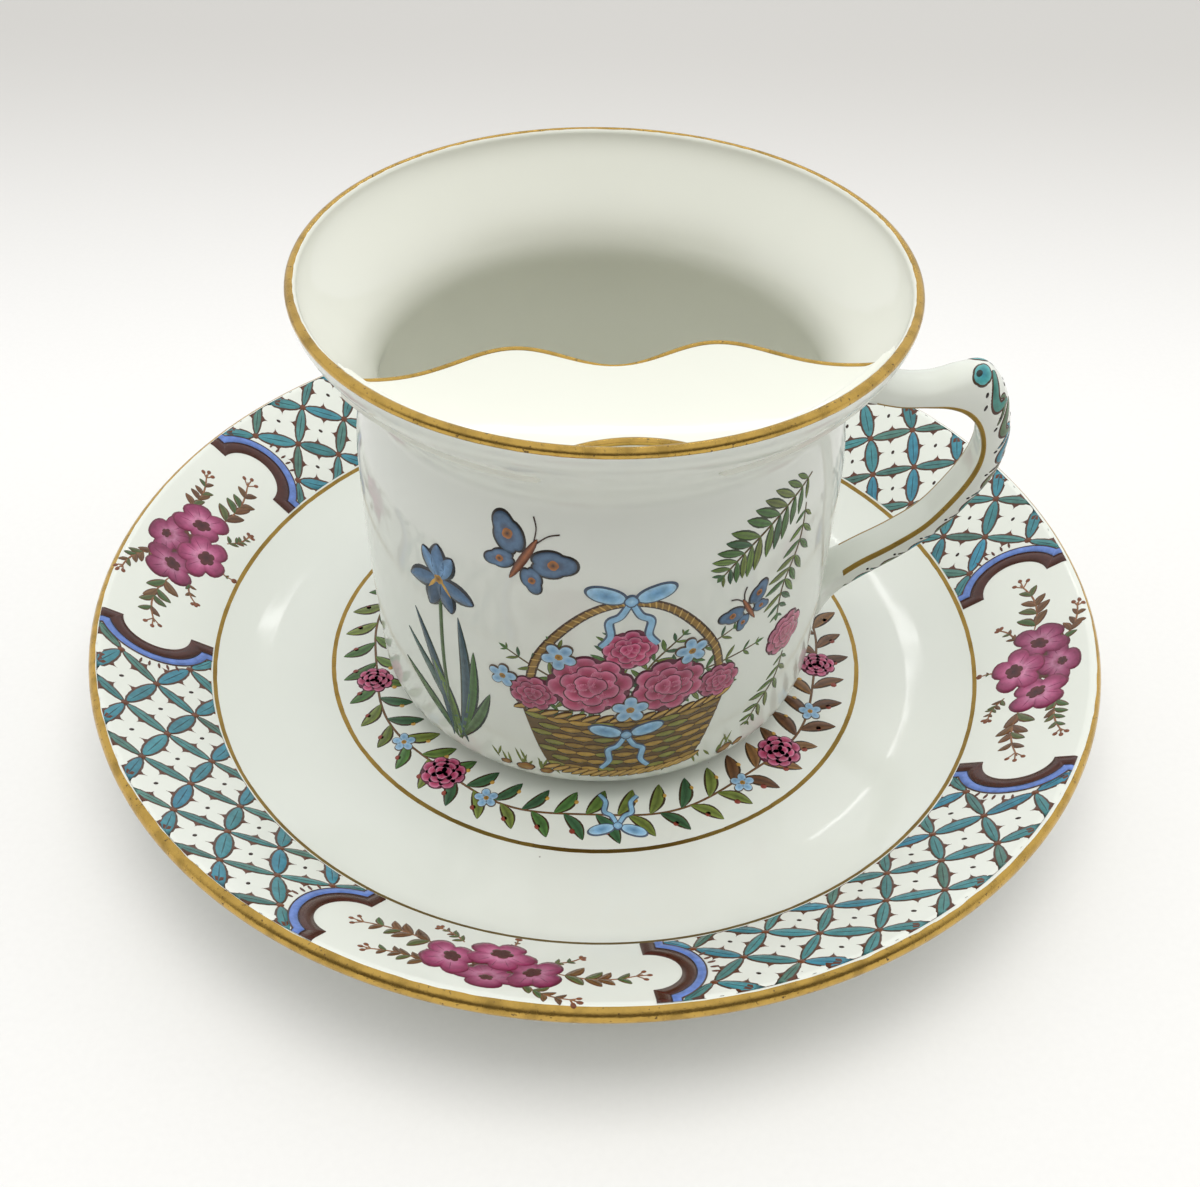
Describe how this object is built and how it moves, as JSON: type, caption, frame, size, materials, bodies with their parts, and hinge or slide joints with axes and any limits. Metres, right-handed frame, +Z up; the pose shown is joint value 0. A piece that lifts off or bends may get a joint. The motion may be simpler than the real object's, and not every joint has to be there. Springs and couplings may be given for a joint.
{
  "type": "moustache cup and saucer",
  "caption": "Bone china moustache cup with a dished lip guard, a drinking slot and a moulded handle, on a round dished saucer with a gilt lip.",
  "frame": {"origin": "on the table, on the axis that the cup and the saucer share", "axes": "+Z up, +X along the cup's handle, -Y towards the drinker, where the moustache guard is"},
  "size_m": [0.17, 0.17, 0.083],
  "materials": {
    "saucer_china": "glossy lead glaze over white bone china, painted on the glaze",
    "cup_china": "glossy lead glaze over white bone china, painted on the glaze",
    "gilding": "burnished fired gold, worn at the lips"
  },
  "bodies": {
    "saucer": {"saucer_dish": "saucer_china", "saucer_lip_gilding": "gilding", "saucer_band_line": "gilding", "saucer_centre_line": "gilding"},
    "cup": {"cup_bowl": "cup_china", "cup_rim_gilding": "gilding", "moustache_guard": "cup_china", "guard_edge_gilding": "gilding", "guard_slot_gilding": "gilding", "handle": "cup_china"}
  },
  "joints": [
    {"name": "cup_lift", "type": "slide", "parent": "saucer", "child": "cup", "axis": [0, 0, 1], "range_m": [0, 0.12]}
  ]
}
